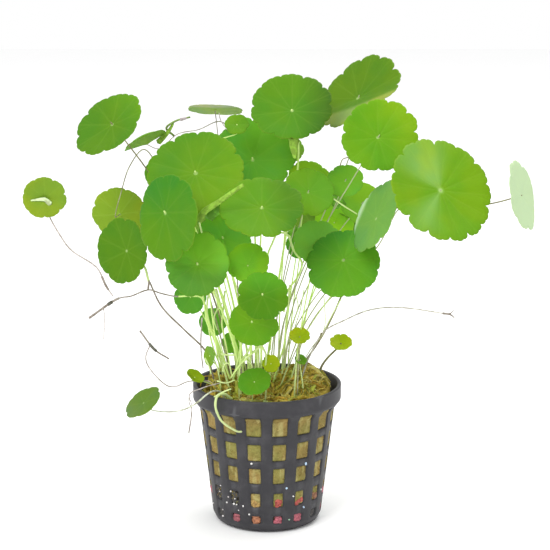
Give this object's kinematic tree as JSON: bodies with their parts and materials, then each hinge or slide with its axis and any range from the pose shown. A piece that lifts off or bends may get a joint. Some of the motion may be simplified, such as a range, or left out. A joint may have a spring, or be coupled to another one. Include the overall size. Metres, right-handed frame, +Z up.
{
  "type": "potted whorled pennywort",
  "caption": "Round net pot filled with rock wool, from which scalloped, round leaves rise on long thin stalks, with creeping runners at its rim.",
  "frame": {"origin": "middle of the pot's flat underside, on the surface it stands on", "axes": "+Z up along the pot's axis, -Y towards the plant's front, +X to the right as seen from the front"},
  "size_m": [0.1729, 0.1002, 0.1624],
  "materials": {
    "pot": "satin black",
    "wool": "fibrous, mossy",
    "leaf": "satin",
    "leaf_dark": "satin",
    "leaf_young": "satin",
    "stalk": "satin",
    "runner": "satin",
    "root": "satin"
  },
  "bodies": {
    "root": {"net_pot": "pot", "rock_wool": "wool", "leaf_left_top": "leaf", "stalk_left_top": "stalk", "leaf_left_olive": "leaf_young", "stalk_left_olive": "stalk", "leaf_left_centre": "leaf_dark", "stalk_left_centre": "stalk", "leaf_left_low": "leaf", "stalk_left_low": "stalk", "leaf_left_big": "leaf", "stalk_left_big": "stalk", "leaf_left_narrow": "leaf", "stalk_left_narrow": "stalk", "leaf_top_narrow": "leaf", "stalk_top_narrow": "stalk", "leaf_top_centre": "leaf", "stalk_top_centre": "stalk", "leaf_centre_back": "leaf_dark", "stalk_centre_back": "stalk", "leaf_centre_front": "leaf", "stalk_centre_front": "stalk", "leaf_centre_right": "leaf", "stalk_centre_right": "stalk", "leaf_inner_olive": "leaf_young", "stalk_inner_olive": "stalk", "leaf_right_inner": "leaf", "stalk_right_inner": "stalk", "leaf_right_olive": "leaf_young", "stalk_right_olive": "stalk", "leaf_right_silvery": "leaf", "stalk_right_silvery": "stalk", "leaf_right_low": "leaf_dark", "stalk_right_low": "stalk", "leaf_right_big": "leaf", "stalk_right_big": "stalk", "leaf_far_right": "leaf", "stalk_far_right": "stalk", "leaf_right_upper": "leaf", "stalk_right_upper": "stalk", "leaf_right_top": "leaf", "stalk_right_top": "stalk", "leaf_low_left": "leaf_dark", "stalk_low_left": "stalk", "leaf_low_back": "leaf_dark", "stalk_low_back": "stalk", "leaf_low_centre": "leaf", "stalk_low_centre": "stalk", "leaf_low_yellow": "leaf_young", "stalk_low_yellow": "stalk", "leaf_rim_left": "leaf_dark", "stalk_rim_left": "stalk", "rhizome_left": "stalk", "rhizome_right": "stalk", "back_growth_left": "leaf_dark", "back_growth_right": "leaf_dark", "runner_left": "runner", "runner_far_left": "leaf_young", "runner_right": "runner", "front_root": "root"}
  },
  "joints": []
}
